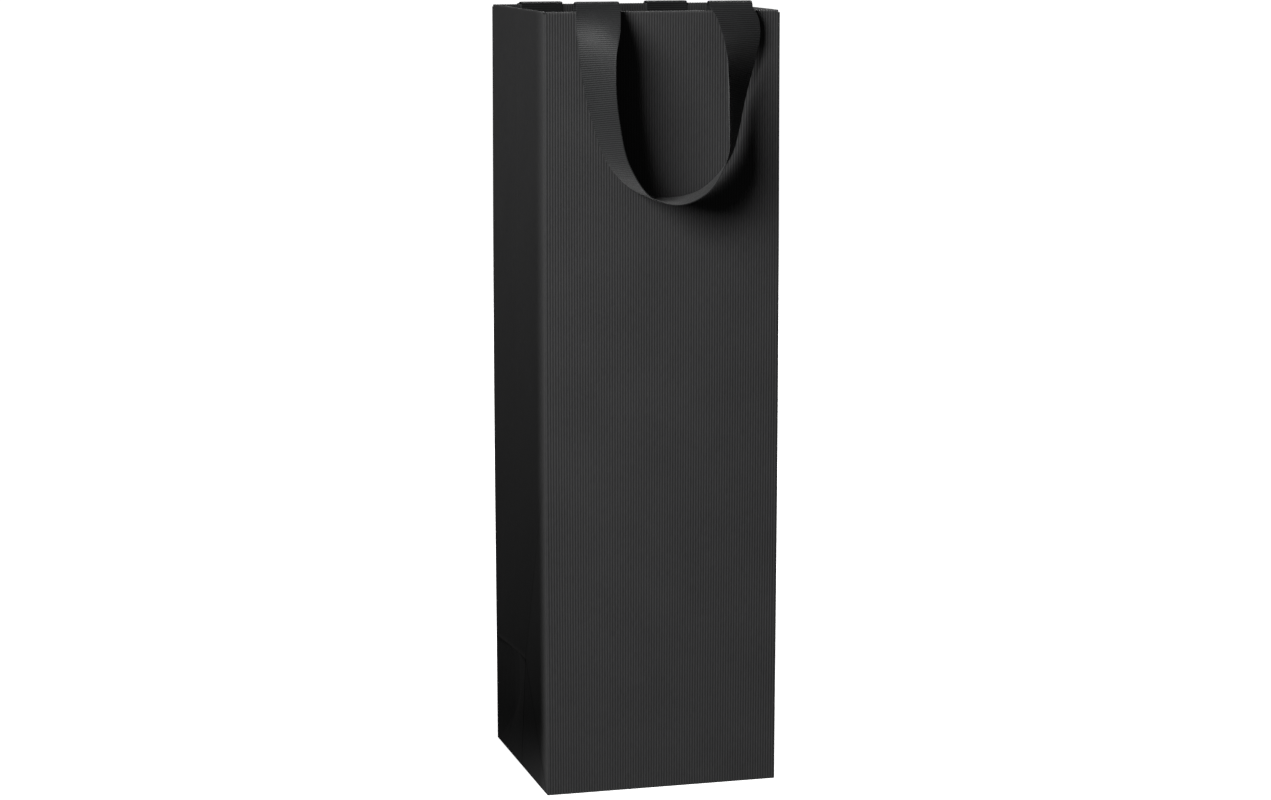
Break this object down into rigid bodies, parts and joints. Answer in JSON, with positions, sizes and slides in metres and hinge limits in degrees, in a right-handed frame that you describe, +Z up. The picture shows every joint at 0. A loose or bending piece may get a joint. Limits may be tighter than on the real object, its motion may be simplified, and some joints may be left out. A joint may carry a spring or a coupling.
{
  "type": "wine gift bag",
  "caption": "Tall gusseted paper bag for one bottle, ribbed black paper, turned-in hem, card base and ribbon loop handles; folds flat at its creases.",
  "frame": {"origin": "middle of the base on the surface that the bag stands on", "axes": "+Z up towards the mouth, -Y towards the front panel, +X to the right across the front panel"},
  "size_m": [0.11, 0.1516, 0.3645],
  "materials": {
    "paper": "ribbed matte kraft paper, dyed black",
    "ribbon": "grosgrain ribbon, soft sheen",
    "card": "grey board",
    "board": "board lined with black paper"
  },
  "bodies": {
    "rear_wall": {"rear_panel": "paper", "rear_hem": "paper", "rear_stiffener": "card", "rear_handle_end_left": "ribbon", "rear_handle_end_right": "ribbon", "rear_handle_bends": "ribbon"},
    "left_rear_fold": {"left_gusset_rear": "paper", "left_gusset_rear_hem": "paper"},
    "left_front_fold": {"left_gusset_front": "paper", "left_gusset_front_hem": "paper"},
    "front_wall": {"front_panel": "paper", "front_hem": "paper", "front_stiffener": "card", "front_handle_end_left": "ribbon", "front_handle_end_right": "ribbon", "front_handle_bends": "ribbon"},
    "right_rear_fold": {"right_gusset_rear": "paper", "right_gusset_rear_hem": "paper", "side_seam_flap": "paper"},
    "right_front_fold": {"right_gusset_front": "paper", "right_gusset_front_hem": "paper"},
    "rear_foot_fold": {"rear_foot": "paper", "left_foot_rear": "paper", "right_foot_rear": "paper"},
    "base_fold": {"base_board": "board", "base_front_flap": "paper", "base_rear_flap": "paper", "base_left_flap": "paper", "base_right_flap": "paper", "left_foot_base": "paper", "right_foot_base": "paper"},
    "front_handle": {"front_handle_loop": "ribbon"},
    "rear_handle": {"rear_handle_loop": "ribbon"}
  },
  "joints": [
    {"name": "flat_fold", "type": "hinge", "parent": "rear_wall", "child": "left_rear_fold", "pos_m": [-0.0542, 0.0504, 0], "axis": [0, 0, 1], "range_deg": [0, 85]},
    {"name": "left_gusset_crease", "type": "hinge", "parent": "left_rear_fold", "child": "left_front_fold", "pos_m": [-0.055, 0, 0], "axis": [0, 0, -1], "range_deg": [0, 170]},
    {"name": "front_left_corner", "type": "hinge", "parent": "left_front_fold", "child": "front_wall", "pos_m": [-0.0542, -0.0504, 0], "axis": [0, 0, 1], "range_deg": [0, 85]},
    {"name": "rear_right_corner", "type": "hinge", "parent": "rear_wall", "child": "right_rear_fold", "pos_m": [0.0542, 0.0504, 0], "axis": [0, 0, -1], "range_deg": [0, 85]},
    {"name": "right_gusset_crease", "type": "hinge", "parent": "right_rear_fold", "child": "right_front_fold", "pos_m": [0.055, 0, 0], "axis": [0, 0, 1], "range_deg": [0, 170]},
    {"name": "foot_crease", "type": "hinge", "parent": "rear_wall", "child": "rear_foot_fold", "pos_m": [0, 0.0525, 0.0526], "axis": [1, 0, 0], "range_deg": [0, 170], "deforming": ["left_foot_rear", "right_foot_rear"]},
    {"name": "base_crease", "type": "hinge", "parent": "rear_foot_fold", "child": "base_fold", "pos_m": [0, 0.05215, 0.0022], "axis": [-1, 0, 0], "range_deg": [0, 85], "deforming": ["left_foot_base", "right_foot_base"]},
    {"name": "front_handle_swing", "type": "hinge", "parent": "front_wall", "child": "front_handle", "pos_m": [0, -0.053, 0.3615], "axis": [-1, 0, 0], "range_deg": [0, 155], "deforming": ["front_handle_bends"]},
    {"name": "rear_handle_swing", "type": "hinge", "parent": "rear_wall", "child": "rear_handle", "pos_m": [0, 0.053, 0.3615], "axis": [1, 0, 0], "range_deg": [0, 155], "deforming": ["rear_handle_bends"]}
  ],
  "couplings": [
    {"joint": "left_gusset_crease", "follows": "flat_fold", "ratio": 2},
    {"joint": "front_left_corner", "follows": "flat_fold", "ratio": 1},
    {"joint": "rear_right_corner", "follows": "flat_fold", "ratio": 1},
    {"joint": "right_gusset_crease", "follows": "flat_fold", "ratio": 2},
    {"joint": "foot_crease", "follows": "flat_fold", "ratio": 2},
    {"joint": "base_crease", "follows": "flat_fold", "ratio": 1}
  ]
}
